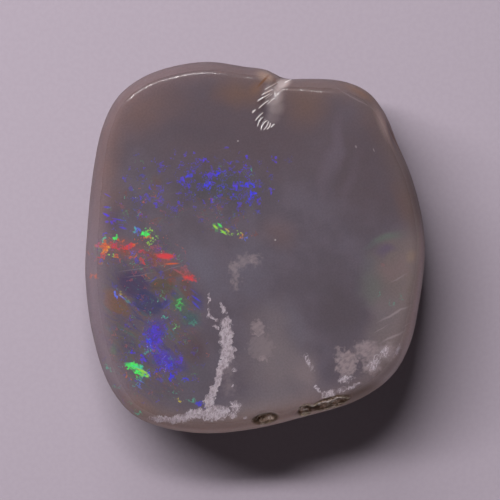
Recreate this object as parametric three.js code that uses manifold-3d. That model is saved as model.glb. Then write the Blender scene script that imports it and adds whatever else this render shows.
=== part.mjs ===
// Rough opal specimen: a single stone, rubbed smooth on its top and rim, lying on its flat underside.
// Millimetres, +Z up. The origin is under the middle of the stone, on the surface that it rests on.
import * as THREE from "three";
import { mergeVertices } from "three/addons/utils/BufferGeometryUtils.js";
import Module from "manifold-3d";

const wasm = await Module();
wasm.setup();

// Driving dimensions
const WIDTH = 25.0; // along X
const LENGTH = 27.3; // along Y
const HEIGHT = 10.2; // along Z
const WAIST_HEIGHT = 5.0; // mean level of the widest outline
const WAIST_SWING = 0.7; // how far that level wanders up and down round the stone
const DOME_RISE = 0.75; // middle of the top above the inner edge of its rim
const FLANK_LEAN = 0.25; // how far the wall leans in between the waist and the rim
const FOOT_INSET = 3.7; // mean distance of the flat foot inside the widest outline
const FOOT_SWING = 1.1; // how far that distance wanders round the stone

// Mesh density
const AROUND = 120; // points on the outline
const RIM_BANDS = 7;
const WALL_BANDS = 4;
const UNDER_BANDS = 7;
const TOP_RINGS = [
  // share of the way from the middle to the rim, points on the ring
  [0.08, 15], [0.16, 15], [0.24, 30], [0.32, 30], [0.4, 60], [0.48, 60],
  [0.56, 60], [0.64, 60], [0.72, 120], [0.8, 120], [0.88, 120], [0.95, 120],
];

// The widest outline seen from above, clockwise from the notch in the top edge.
// Each row is x and y as shares of the half width and half length, then the rim's radius in millimetres.
const OUTLINE = [
  [0.07, 0.958, 1.0],
  [0.17, 0.91, 1.0],
  [0.3, 0.91, 1.2],
  [0.5, 0.9, 1.3],
  [0.655, 0.845, 1.3],
  [0.757, 0.735, 1.1],
  [0.84, 0.56, 0.9],
  [0.925, 0.37, 0.9],
  [0.985, 0.15, 1.0],
  [1.0, -0.03, 1.1],
  [0.965, -0.3, 1.3],
  [0.908, -0.525, 1.5],
  [0.805, -0.69, 1.6],
  [0.6, -0.822, 1.5],
  [0.27, -0.915, 1.3],
  [0.0, -0.975, 1.3],
  [-0.3, -1.0, 1.4],
  [-0.56, -0.965, 1.5],
  [-0.72, -0.9, 1.6],
  [-0.855, -0.75, 1.7],
  [-0.955, -0.48, 1.8],
  [-1.0, -0.16, 1.8],
  [-0.988, 0.1, 1.7],
  [-0.955, 0.4, 1.5],
  [-0.895, 0.66, 1.2],
  [-0.8, 0.82, 1.1],
  [-0.62, 0.935, 1.1],
  [-0.3, 1.0, 1.1],
  [-0.05, 0.972, 1.0],
];

// Conchoidal chip in the top edge: a row of ribs from the rim notch down onto the face.
const CHIP_PATH = [
  [1.9, 12.2],
  [1.2, 11.1],
  [0.8, 10.0],
  [0.75, 8.9],
];
const CHIP_RIBS = 12;
const CHIP_RIB_TURN = THREE.MathUtils.degToRad(35); // ribs rise towards the right
const CHIP_HALF_WIDTH = 0.95; // along a rib at the rim
const CHIP_HALF_RIB = 0.3; // across a rib
const CHIP_DEPTH = 0.5; // at the rim
const CHIP_DEPTH_LOST = 0.7; // share of the depth lost at the end on the face
const CHIP_WIDTH_LOST = 0.3; // share of the width lost there

// Pits along the lower edge: place in plan, half length, half width, half depth and turn in degrees.
const PITS = [
  { at: [0.72, -12.4], half: [0.85, 0.4, 0.45], turn: 14 },
  { at: [3.55, -12.0], half: [0.75, 0.45, 0.6], turn: 24 },
  { at: [4.75, -11.75], half: [0.95, 0.4, 0.5], turn: 14 },
  { at: [6.0, -11.4], half: [0.85, 0.35, 0.45], turn: 24 },
];
const PIT_SINK = 0.12; // middle of a pit below the surface there

// Shallow flake scars on the flanks, cut by stretched balls. Each is aimed at a point inside the
// stone from the way it faces. half is across, along and into the flank, and bite is the scar's depth.
const FLAKES = [
  { aim: [8.4, 6.9, 7.6], facing: [0.92, 0.38, 0.05], half: [6.5, 4.0, 3.0], roll: 20, bite: 0.3 },
  { aim: [7.0, -7.4, 4.0], facing: [0.62, -0.6, -0.5], half: [11.0, 7.0, 3.0], roll: 35, bite: 0.42 },
  { aim: [-8.0, -5.0, 3.6], facing: [-0.8, -0.3, -0.5], half: [10.0, 6.0, 3.0], roll: -20, bite: 0.45 },
  { aim: [-4.5, 9.0, 4.0], facing: [-0.3, 0.82, -0.48], half: [11.0, 6.0, 3.0], roll: 10, bite: 0.4 },
  { aim: [6.5, 8.6, 3.8], facing: [0.5, 0.72, -0.5], half: [8.0, 6.0, 3.0], roll: -30, bite: 0.35 },
  { aim: [-2.0, -9.5, 3.4], facing: [-0.1, -0.85, -0.5], half: [9.0, 5.0, 3.0], roll: 15, bite: 0.35 },
];

// Hand-rubbed unevenness: gentle waves on the top, coarser lumps under the waist.
const TOP_WAVE = 0.07;
const UNDER_LUMP = 0.22;
const UNDER_LUMPS_ROUND = 11;

// Slow waves round the stone: rows of turns, phase and share of the swing.
const WAIST_WAVES = [[2, 0.4, 0.7], [5, 0.0, 0.3]];
const FOOT_WAVES = [[3, 1.3, 0.6], [7, -0.5, 0.4]];

function outlineCurve() {
  const points = OUTLINE.map(
    ([x, y, rim]) => new THREE.Vector3((x * WIDTH) / 2, (y * LENGTH) / 2, rim),
  );
  return new THREE.CatmullRomCurve3(points.reverse(), true, "centripetal");
}

// Stations round the outline: place, inward direction and rim radius at each.
function outlineStations() {
  const curve = outlineCurve();
  return Array.from({ length: AROUND }, (_, i) => {
    const share = i / AROUND;
    const point = curve.getPointAt(share);
    const tangent = curve.getTangentAt(share);
    const inward = new THREE.Vector2(-tangent.y, tangent.x).normalize();
    return { x: point.x, y: point.y, rim: point.z, inward };
  });
}

function topWave(x, y) {
  const broad = Math.sin(0.42 * x + 0.8) * Math.cos(0.36 * y - 0.5);
  const narrow = 0.5 * Math.sin(0.75 * y + 0.3 * x);
  return TOP_WAVE * (broad + narrow);
}

function wavesAt(waves, angle) {
  return waves.reduce((sum, [turns, phase, share]) => sum + share * Math.sin(turns * angle + phase), 0);
}

function waistAt(angle) {
  return WAIST_HEIGHT + WAIST_SWING * wavesAt(WAIST_WAVES, angle);
}

function footInsetAt(angle) {
  return FOOT_INSET + FOOT_SWING * wavesAt(FOOT_WAVES, angle);
}

// Coarse lumps that fade out at the waist and at the foot.
function underLump(angle, share) {
  const skew = 2.5 * share - 1.1; // lumps lean round the stone as they go down
  return UNDER_LUMP * Math.sin(Math.PI * share) * Math.sin(UNDER_LUMPS_ROUND * angle + skew);
}

// One ring of the stone at a station-wise inset and height.
function ring(stations, insetAndHeight) {
  return stations.map((s, i) => {
    const [inset, z] = insetAndHeight(s, (2 * Math.PI * i) / AROUND);
    return new THREE.Vector3(s.x + s.inward.x * inset, s.y + s.inward.y * inset, z);
  });
}

function rimRings(stations) {
  const shoulder = HEIGHT - DOME_RISE;
  return Array.from({ length: RIM_BANDS + 1 }, (_, band) => {
    const turn = (0.5 * Math.PI * band) / RIM_BANDS;
    return ring(stations, (s) => [
      FLANK_LEAN + s.rim * (1 - Math.sin(turn)),
      shoulder - s.rim * (1 - Math.cos(turn)),
    ]);
  });
}

function wallRings(stations) {
  return Array.from({ length: WALL_BANDS }, (_, band) => {
    const share = (band + 1) / WALL_BANDS;
    return ring(stations, (s, angle) => {
      const rimFoot = HEIGHT - DOME_RISE - s.rim;
      return [FLANK_LEAN * (1 - share) ** 2, THREE.MathUtils.lerp(rimFoot, waistAt(angle), share)];
    });
  });
}

function underRings(stations) {
  return Array.from({ length: UNDER_BANDS }, (_, band) => {
    const share = (band + 1) / UNDER_BANDS;
    const turn = 0.5 * Math.PI * share;
    return ring(stations, (s, angle) => {
      const inset = footInsetAt(angle) * (1 - Math.cos(turn)) + underLump(angle, share);
      return [inset, share === 1 ? 0 : waistAt(angle) * (1 - Math.sin(turn))];
    });
  });
}

// Rings of the domed top from near its middle out to the rim, with fewer points towards the middle.
function topRings(rimEdge) {
  return TOP_RINGS.map(([share, count]) => {
    const step = AROUND / count;
    return Array.from({ length: count }, (_, i) => {
      const edge = rimEdge[i * step];
      const x = edge.x * share;
      const y = edge.y * share;
      const settle = 1 - share ** 6; // waves die out at the rim
      return new THREE.Vector3(x, y, edge.z + DOME_RISE * (1 - share ** 2) + topWave(x, y) * settle);
    });
  });
}

// Triangles between two rings whose counts are equal, or one twice the other.
function stitch(indices, upper, lower) {
  const most = Math.max(upper.count, lower.count);
  const at = (r, i) => r.first + (Math.floor((i * r.count) / most) % r.count);
  for (let i = 0; i < most; i += 1) {
    const [a, b] = [at(upper, i), at(upper, i + 1)];
    const [c, d] = [at(lower, i), at(lower, i + 1)];
    if (c !== d) indices.push(a, c, d);
    if (a !== b) indices.push(a, d, b);
  }
}

function rubbedStone() {
  const stations = outlineStations();
  const rim = rimRings(stations);
  const rings = [...topRings(rim[0]), ...rim, ...wallRings(stations), ...underRings(stations)];
  const top = new THREE.Vector3(0, 0, HEIGHT + topWave(0, 0));
  const foot = new THREE.Vector3(0, 0, 0);
  const vertices = [top, ...rings.flat(), foot];
  const indices = [];
  let first = 1;
  const placed = rings.map((points) => {
    const span = { first, count: points.length };
    first += points.length;
    return span;
  });
  for (let i = 0; i < placed[0].count; i += 1) {
    indices.push(0, 1 + i, 1 + ((i + 1) % placed[0].count));
  }
  placed.slice(1).forEach((lower, i) => stitch(indices, placed[i], lower));
  const last = placed.at(-1);
  for (let i = 0; i < last.count; i += 1) {
    indices.push(first, last.first + ((i + 1) % last.count), last.first + i);
  }
  const geometry = new THREE.BufferGeometry().setFromPoints(vertices);
  geometry.setIndex(indices);
  return fitToSize(geometry);
}

// Scales and centres the stone to the driving dimensions, standing on Z = 0.
function fitToSize(geometry) {
  geometry.computeBoundingBox();
  const size = geometry.boundingBox.getSize(new THREE.Vector3());
  const middle = geometry.boundingBox.getCenter(new THREE.Vector3());
  geometry.translate(-middle.x, -middle.y, -geometry.boundingBox.min.z);
  return geometry.scale(WIDTH / size.x, LENGTH / size.y, HEIGHT / size.z);
}

function solidOf(geometry) {
  const bare = geometry.clone();
  bare.deleteAttribute("normal");
  bare.deleteAttribute("uv");
  const merged = mergeVertices(bare);
  return new wasm.Manifold(
    new wasm.Mesh({
      numProp: 3,
      vertProperties: new Float32Array(merged.attributes.position.array),
      triVerts: new Uint32Array(merged.index.array),
    }),
  );
}

function geometryOf(solid) {
  const mesh = solid.getMesh();
  const geometry = new THREE.BufferGeometry();
  geometry.setAttribute("position", new THREE.BufferAttribute(mesh.vertProperties, 3));
  geometry.setIndex(new THREE.BufferAttribute(mesh.triVerts, 1));
  geometry.computeVertexNormals();
  return geometry;
}

// A ball stretched to three half sizes, turned and placed.
function scoop(at, half, turned, sides) {
  const place = new THREE.Matrix4().compose(at, turned, new THREE.Vector3(...half));
  return solidOf(new THREE.SphereGeometry(1, sides, sides / 2 + 2).applyMatrix4(place));
}

function turnAboutZ(angle) {
  return new THREE.Quaternion().setFromAxisAngle(new THREE.Vector3(0, 0, 1), angle);
}

function chipCutters(surface) {
  const path = new THREE.CatmullRomCurve3(CHIP_PATH.map(([x, y]) => new THREE.Vector3(x, y, 0)));
  return Array.from({ length: CHIP_RIBS }, (_, rib) => {
    const share = rib / (CHIP_RIBS - 1);
    const depth = CHIP_DEPTH * (1 - CHIP_DEPTH_LOST * share);
    const half = [CHIP_HALF_WIDTH * (1 - CHIP_WIDTH_LOST * share), CHIP_HALF_RIB, 2 * depth];
    const middle = surface.above(path.getPoint(share)).add(new THREE.Vector3(0, 0, depth));
    return scoop(middle, half, turnAboutZ(CHIP_RIB_TURN), 16);
  });
}

function pitCutters(surface) {
  return PITS.map(({ at, half, turn }) => {
    const middle = surface.above(new THREE.Vector3(...at, 0)).sub(new THREE.Vector3(0, 0, PIT_SINK));
    return scoop(middle, half, turnAboutZ(THREE.MathUtils.degToRad(turn)), 12);
  });
}

function flakeCutters(surface) {
  return FLAKES.map(({ aim, facing, half, roll, bite }) => {
    const outward = new THREE.Vector3(...facing).normalize();
    const turned = new THREE.Quaternion().setFromUnitVectors(new THREE.Vector3(0, 0, 1), outward);
    turned.multiply(turnAboutZ(THREE.MathUtils.degToRad(roll)));
    const skin = surface.towards(new THREE.Vector3(...aim), outward);
    return scoop(skin.addScaledVector(outward, half[2] - bite), half, turned, 28);
  });
}

// Finds points on the rubbed stone's surface, before it is chipped.
function surfaceOf(geometry) {
  const body = new THREE.Mesh(geometry, new THREE.MeshBasicMaterial());
  const ray = new THREE.Raycaster();
  const far = 2 * (WIDTH + LENGTH + HEIGHT);
  const towards = (aim, outward) => {
    ray.set(aim.clone().addScaledVector(outward, far), outward.clone().negate());
    return ray.intersectObject(body)[0].point;
  };
  return { towards, above: (spot) => towards(spot, new THREE.Vector3(0, 0, 1)) };
}

function opal() {
  const rubbed = rubbedStone();
  const surface = surfaceOf(rubbed);
  const cutters = [...chipCutters(surface), ...pitCutters(surface), ...flakeCutters(surface)];
  const stone = cutters.reduce((solid, cutter) => solid.subtract(cutter), solidOf(rubbed));
  const material = new THREE.MeshStandardMaterial({ color: 0x62575d, roughness: 0.18, metalness: 0 });
  const mesh = new THREE.Mesh(geometryOf(stone), material);
  mesh.name = "opal";
  return mesh;
}

const specimen = new THREE.Group();
specimen.add(opal());

export default specimen;
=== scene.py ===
import math

import bpy
import numpy as np
from mathutils import Matrix, Vector, noise


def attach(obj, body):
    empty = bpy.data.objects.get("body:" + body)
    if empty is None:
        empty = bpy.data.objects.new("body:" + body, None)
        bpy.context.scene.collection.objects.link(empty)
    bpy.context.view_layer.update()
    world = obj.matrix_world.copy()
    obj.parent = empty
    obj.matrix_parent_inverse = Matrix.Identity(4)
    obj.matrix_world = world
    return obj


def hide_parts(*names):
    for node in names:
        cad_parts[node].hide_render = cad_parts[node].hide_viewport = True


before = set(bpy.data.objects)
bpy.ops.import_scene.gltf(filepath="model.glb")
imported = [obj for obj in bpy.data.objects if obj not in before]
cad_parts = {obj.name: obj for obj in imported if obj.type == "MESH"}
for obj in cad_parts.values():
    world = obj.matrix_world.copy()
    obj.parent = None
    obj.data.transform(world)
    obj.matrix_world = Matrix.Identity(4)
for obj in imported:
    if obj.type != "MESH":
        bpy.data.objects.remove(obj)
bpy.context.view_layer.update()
mm = 0.001
print("frame loaded:", sorted(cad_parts))


# Studio: camera straight above, one strip lamp behind and to the left, pale floor

studio = {
    "viewMiddle": (-0.37, -0.18),  # mm, point in plan at the middle of the picture
    "viewWidth": 36.76,  # mm across the picture at the level of the waist
    "waistLevel": 5.0,  # mm
    "lens": 500.0,
    "sensor": 36.0,
    "keyPlace": (-150.0, 131.0, 282.0),  # mm
    "keySize": (330.0, 36.0),  # mm
    "keyTilt": -24.9,  # degrees about X
    "keyPower": 1.45,
    "edgePlace": (-130.0, 255.0, 230.0),  # mm, thin lamp that draws the line of light on the crown
    "edgeSize": (290.0, 9.0),  # mm
    "edgeTilt": -47.9,  # degrees about X
    "edgePower": 0.5,
    "fillPlace": (30.0, -160.0, 13.0),  # mm
    "fillSize": (140.0, 24.0),  # mm
    "fillPower": 0.11,
    "ambient": (0.02, 0.016, 0.017),
    "horizon": (0.26, 0.22, 0.25),  # paler air low down, seen only in reflections
    "horizonReach": 0.7,  # sine of the height at which it ends
    "backdrop": (0.42, 0.37, 0.42),
    "floorSize": 0.8,  # m
    "floorLevel": -0.02,  # mm, just clear of the foot
    "floorRoughness": 0.9,
    "floorSheen": 0.1,
    "floorColour": (166, 154, 166),
}


def seen(red, green, blue):
    # colour as it looks under the key lamp, 0 to 255, made linear
    parts = [channel / 255 for channel in (red, green, blue)]
    return [p / 12.92 if p <= 0.04045 else ((p + 0.055) / 1.055) ** 2.4 for p in parts] + [1.0]


def addCamera():
    distance = studio["viewWidth"] * studio["lens"] / studio["sensor"]
    middle = studio["viewMiddle"]
    bpy.ops.object.camera_add(
        location=(middle[0] * mm, middle[1] * mm, (studio["waistLevel"] + distance) * mm)
    )
    camera = bpy.context.object
    camera.name = "camera"
    camera.data.lens = studio["lens"]
    camera.data.sensor_width = studio["sensor"]
    camera.data.clip_start = 0.01
    bpy.context.scene.camera = camera


def addAreaLamp(name, place, size, power, turn):
    bpy.ops.object.light_add(type="AREA", location=[p * mm for p in place], rotation=turn)
    lamp = bpy.context.object
    lamp.name = name
    lamp.data.shape = "RECTANGLE"
    lamp.data.size = size[0] * mm
    lamp.data.size_y = size[1] * mm
    lamp.data.energy = power
    lamp.visible_camera = False
    return lamp


def addLamps():
    tilt = (math.radians(studio["keyTilt"]), 0, 0)
    key = addAreaLamp("keyStrip", studio["keyPlace"], studio["keySize"], studio["keyPower"], tilt)
    key.visible_glossy = False
    tilt = (math.radians(studio["edgeTilt"]), 0, 0)
    addAreaLamp("edgeStrip", studio["edgePlace"], studio["edgeSize"], studio["edgePower"], tilt)
    turn = (-Vector(studio["fillPlace"])).to_track_quat("-Z", "Y").to_euler()
    fill = addAreaLamp("lowFill", studio["fillPlace"], studio["fillSize"], studio["fillPower"], turn)
    fill.visible_glossy = False


def addWorld():
    world = bpy.data.worlds.new("studioAir")
    bpy.context.scene.world = world
    world.use_nodes = True
    tree = world.node_tree
    tree.nodes.clear()
    path = tree.nodes.new("ShaderNodeLightPath")
    parts = addNode(tree, "ShaderNodeSeparateXYZ")
    tree.links.new(addNode(tree, "ShaderNodeTexCoord").outputs["Generated"], parts.inputs[0])
    low = ramp(tree, parts.outputs[2], studio["horizonReach"], 0.0)
    share = mathOf(tree, "MULTIPLY", low, path.outputs["Is Glossy Ray"])
    dim = tree.nodes.new("ShaderNodeBackground")
    air = mixColour(tree, share, (*studio["ambient"], 1), (*studio["horizon"], 1))
    tree.links.new(air, dim.inputs["Color"])
    pale = tree.nodes.new("ShaderNodeBackground")
    pale.inputs["Color"].default_value = (*studio["backdrop"], 1)
    pick = tree.nodes.new("ShaderNodeMixShader")
    out = tree.nodes.new("ShaderNodeOutputWorld")
    tree.links.new(path.outputs["Is Camera Ray"], pick.inputs[0])
    tree.links.new(dim.outputs[0], pick.inputs[1])
    tree.links.new(pale.outputs[0], pick.inputs[2])
    tree.links.new(pick.outputs[0], out.inputs["Surface"])


# Node helpers


def addNode(tree, kind, **settings):
    node = tree.nodes.new(kind)
    for name, value in settings.items():
        setattr(node, name, value)
    return node


def feed(tree, socket, value):
    if isinstance(value, bpy.types.NodeSocket):
        tree.links.new(value, socket)
    else:
        socket.default_value = value


def mathOf(tree, operation, *values, clamp=False):
    node = addNode(tree, "ShaderNodeMath", operation=operation, use_clamp=clamp)
    for socket, value in zip(node.inputs, values):
        feed(tree, socket, value)
    return node.outputs[0]


def vectorOf(tree, operation, *values):
    node = addNode(tree, "ShaderNodeVectorMath", operation=operation)
    for socket, value in zip(node.inputs, values):
        feed(tree, socket, value)
    return node.outputs[0]


def scaled(tree, vector, factor):
    node = addNode(tree, "ShaderNodeVectorMath", operation="SCALE")
    feed(tree, node.inputs[0], vector)
    feed(tree, node.inputs["Scale"], factor)
    return node.outputs[0]


def ramp(tree, value, low, high, bottom=0.0, top=1.0):
    # a smooth step stays in range by itself, and a clamp for each spot would fill the shader
    node = addNode(tree, "ShaderNodeMapRange", interpolation_type="SMOOTHSTEP", clamp=False)
    for socket, part in zip(node.inputs, (value, low, high, bottom, top)):
        feed(tree, socket, part)
    return node.outputs[0]


def mixColour(tree, factor, under, over, blend="MIX"):
    node = addNode(tree, "ShaderNodeMix", data_type="RGBA", blend_type=blend)
    for index, part in ((0, factor), (6, under), (7, over)):
        feed(tree, node.inputs[index], part)
    return node.outputs[2]


def brightened(tree, colour, factor):
    node = addNode(tree, "ShaderNodeHueSaturation")
    feed(tree, node.inputs["Value"], factor)
    feed(tree, node.inputs["Color"], colour)
    return node.outputs[0]


def noiseOf(tree, place, scale, detail=2.0, rough=0.5, flat=True):
    node = addNode(tree, "ShaderNodeTexNoise", noise_dimensions="2D" if flat else "3D")
    feed(tree, node.inputs["Vector"], place)
    node.inputs["Scale"].default_value = scale
    node.inputs["Detail"].default_value = detail
    node.inputs["Roughness"].default_value = rough
    return node


def stretched(tree, place, turn, scale):
    # scale is per mm along and across the turned direction
    node = addNode(tree, "ShaderNodeMapping", vector_type="TEXTURE")
    feed(tree, node.inputs["Vector"], place)
    node.inputs["Rotation"].default_value = (0, 0, math.radians(turn))
    node.inputs["Scale"].default_value = (1 / scale[0], 1 / scale[1], 1)
    return node.outputs[0]


def asPlace(tree, vector):
    # a Mapping node gives a point, which the spots below read with no conversion
    node = addNode(tree, "ShaderNodeMapping")
    feed(tree, node.inputs["Vector"], vector)
    return node.outputs[0]


def warped(tree, place, scale, reach, detail):
    shift = noiseOf(tree, place, scale, detail).outputs["Color"]
    centred = vectorOf(tree, "SUBTRACT", shift, (0.5, 0.5, 0.5))
    return asPlace(tree, vectorOf(tree, "ADD", place, scaled(tree, centred, 2 * reach)))


def newGroup(name, inputs, outputs):
    group = bpy.data.node_groups.new(name, "ShaderNodeTree")
    for label, kind in inputs:
        group.interface.new_socket(label, in_out="INPUT", socket_type=kind)
    for label, kind in outputs:
        group.interface.new_socket(label, in_out="OUTPUT", socket_type=kind)
    start = group.nodes.new("NodeGroupInput")
    end = group.nodes.new("NodeGroupOutput")
    return group, start, end


def useGroup(tree, group, **values):
    node = tree.nodes.new("ShaderNodeGroup")
    node.node_tree = group
    for label, value in values.items():
        feed(tree, node.inputs[label], value)
    return node


# Marks on the rubbed face


def makeSpotGroup():
    # soft oval: nothing at the edge, full strength once Fade of the way in
    inputs = [
        ("Place", "NodeSocketVector"),
        ("Middle", "NodeSocketVector"),
        ("Half", "NodeSocketVector"),
        ("Turn", "NodeSocketVector"),
        ("Fade", "NodeSocketFloat"),
        ("Strength", "NodeSocketFloat"),
    ]
    group, start, end = newGroup("ovalSpot", inputs, [("Mask", "NodeSocketFloat")])
    mapping = addNode(group, "ShaderNodeMapping", vector_type="TEXTURE")
    for label, socket in (("Place", 0), ("Middle", 1), ("Turn", 2), ("Half", 3)):
        group.links.new(start.outputs[label], mapping.inputs[socket])
    ball = addNode(group, "ShaderNodeTexGradient", gradient_type="SPHERICAL")
    group.links.new(mapping.outputs[0], ball.inputs[0])
    mask = ramp(group, ball.outputs["Fac"], 0.0, start.outputs["Fade"], 0.0, start.outputs["Strength"])
    group.links.new(mask, end.inputs["Mask"])
    return group


def spotMask(tree, group, place, x, y, halfX, halfY, turn, core, strength):
    node = useGroup(
        tree,
        group,
        Place=place,
        Middle=(x, y, 0),
        Half=(halfX, halfY, 1),
        Turn=(0, 0, math.radians(turn)),
        Fade=1 - core,
        Strength=strength,
    )
    return node.outputs["Mask"]


def makePaintGroup(name, spotGroup, rows, palette):
    # lays a list of soft ovals over a colour, first row lowest
    inputs = [("Place", "NodeSocketVector"), ("Under", "NodeSocketColor")]
    group, start, end = newGroup(name, inputs, [("Colour", "NodeSocketColor")])
    colour = start.outputs["Under"]
    for *shape, tint, core, strength in rows:
        mask = spotMask(group, spotGroup, start.outputs["Place"], *shape, core, strength)
        colour = mixColour(group, mask, colour, seen(*palette[tint]))
    group.links.new(colour, end.inputs["Colour"])
    return group


def paintOver(tree, name, spotGroup, rows, palette, place, colour):
    group = makePaintGroup(name, spotGroup, rows, palette)
    return useGroup(tree, group, Place=place, Under=colour).outputs["Colour"]


def makeZoneGroup(name, spotGroup, rows):
    # strongest of a list of soft ovals
    group, start, end = newGroup(name, [("Place", "NodeSocketVector")], [("Mask", "NodeSocketFloat")])
    total = None
    for *shape, core, strength in rows:
        mask = spotMask(group, spotGroup, start.outputs["Place"], *shape, core, strength)
        total = mask if total is None else mathOf(group, "MAXIMUM", total, mask)
    group.links.new(total, end.inputs["Mask"])
    return group


def zoneMask(tree, name, spotGroup, rows, place):
    return useGroup(tree, makeZoneGroup(name, spotGroup, rows), Place=place).outputs["Mask"]


def makeFleckGroup():
    # random angular flecks: Share of the cells are lit, Pick is a random number for each
    inputs = [("Place", "NodeSocketVector"), ("Share", "NodeSocketFloat")]
    outputs = [("Mask", "NodeSocketFloat"), ("Pick", "NodeSocketFloat")]
    group, start, end = newGroup("randomFlecks", inputs, outputs)
    cells = addNode(group, "ShaderNodeTexVoronoi", voronoi_dimensions="2D", distance="MANHATTAN")
    group.links.new(start.outputs["Place"], cells.inputs["Vector"])
    cells.inputs["Scale"].default_value = 1.0
    parts = addNode(group, "ShaderNodeSeparateColor")
    group.links.new(cells.outputs["Color"], parts.inputs[0])
    lit = mathOf(group, "LESS_THAN", parts.outputs[0], start.outputs["Share"])
    shape = ramp(group, cells.outputs["Distance"], 0.62, 0.3)
    strength = ramp(group, parts.outputs[2], 0.0, 1.0, 0.35, 1.0)
    mask = mathOf(group, "MULTIPLY", lit, mathOf(group, "MULTIPLY", shape, strength))
    group.links.new(mask, end.inputs["Mask"])
    group.links.new(parts.outputs[1], end.inputs["Pick"])
    return group


# Broad tints of the potch. Rows: x, y, half sizes in mm, turn, tint, core, strength
bodyTints = {
    "palette": {
        "ground": (95, 86, 95),
        "paleGround": (100, 91, 101),
        "warm": (114, 91, 88),
        "umber": (92, 80, 86),
        "rust": (113, 89, 80),
        "dusk": (82, 74, 84),
        "mauve": (104, 93, 103),
        "redBrown": (104, 83, 81),
        "milk": (115, 103, 103),
        "dark": (89, 80, 87),
        "gloom": (96, 89, 98),
        "slate": (104, 98, 110),
        "fawn": (119, 108, 113),
        "pinkFawn": (128, 114, 118),
        "beige": (119, 107, 109),
        "sea": (100, 108, 103),
        "plum": (96, 84, 106),
        "blush": (126, 105, 108),
        "amber": (142, 118, 96),
        "tan": (112, 98, 84),
    },
    "rows": [
        (-1.0, 9.2, 13.0, 7.0, 0, "umber", 0.3, 0.9),
        (8.6, 5.4, 5.0, 6.0, 20, "umber", 0.3, 0.8),
        (-8.6, 10.0, 5.0, 3.0, 22, "warm", 0, 0.7),
        (-11.0, 5.5, 2.2, 7.5, 0, "warm", 0, 0.8),
        (-4.8, 8.3, 6.5, 1.2, -4, "dusk", 0, 0.25),
        (-1.2, 11.4, 2.8, 1.9, -8, "rust", 0, 0.75),
        (3.6, 10.6, 2.6, 2.8, -10, "rust", 0, 0.6),
        (5.4, 11.9, 3.6, 1.1, -5, "warm", 0, 0.5),
        (5.6, 6.4, 0.9, 4.8, -14, "mauve", 0, 0.9),
        (7.0, 4.6, 0.7, 4.0, -8, "mauve", 0, 0.4),
        (9.4, 9.4, 2.6, 2.6, -40, "redBrown", 0, 0.5),
        (11.3, 3.4, 1.6, 2.8, 10, "redBrown", 0, 0.9),
        (-2.9, 4.2, 5.6, 3.0, -8, "dusk", 0, 0.75),
        (1.7, 1.1, 2.0, 2.0, 0, "warm", 0, 0.35),
        (-3.7, -1.3, 1.9, 4.0, 36, "slate", 0.1, 0.85),
        (6.0, -4.4, 3.2, 5.0, 18, "dark", 0.1, 0.9),
        (1.5, -8.0, 3.4, 5.4, 6, "fawn", 0.2, 0.9),
        (0.8, -11.8, 4.6, 1.8, 8, "fawn", 0.1, 0.85),
        (3.7, -9.2, 1.6, 2.4, 10, "pinkFawn", 0.1, 0.8),
        (3.0, -5.6, 1.0, 3.0, 24, "slate", 0, 0.5),
        (10.6, -2.6, 3.3, 4.0, 0, "milk", 0.3, 0.9),
        (10.7, -0.2, 3.2, 1.9, 25, "milk", 0.3, 0.7),
        (9.8, -6.8, 2.6, 3.4, -30, "beige", 0.2, 0.85),
        (9.4, 0.5, 2.2, 0.5, 26, "sea", 0.1, 0.8),
        (8.3, -2.4, 1.2, 2.8, 0, "sea", 0, 0.28),
        (9.6, -0.35, 1.3, 0.6, 20, "plum", 0.1, 0.8),
        (9.6, -1.7, 1.6, 1.0, 0, "blush", 0, 0.6),
        (11.0, -1.2, 1.2, 1.4, 0, "blush", 0, 0.5),
        (11.5, -0.5, 0.6, 0.6, 0, "amber", 0, 0.75),
        (11.5, -2.9, 0.7, 2.2, -4, "tan", 0, 0.6),
        (8.9, -3.0, 1.0, 2.0, -10, "sea", 0, 0.32),
        (-7.6, -6.0, 4.4, 7.0, 4, "gloom", 0.2, 0.85),
        (-4.2, -9.0, 1.8, 3.2, -10, "gloom", 0, 0.8),
        (-0.4, -1.6, 2.6, 3.4, 0, "slate", 0, 0.6),
        (9.6, -8.6, 2.0, 1.6, 40, "beige", 0, 0.5),
        (9.6, -4.6, 1.7, 2.4, 0, "fawn", 0.1, 0.6),
    ],
}

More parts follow.
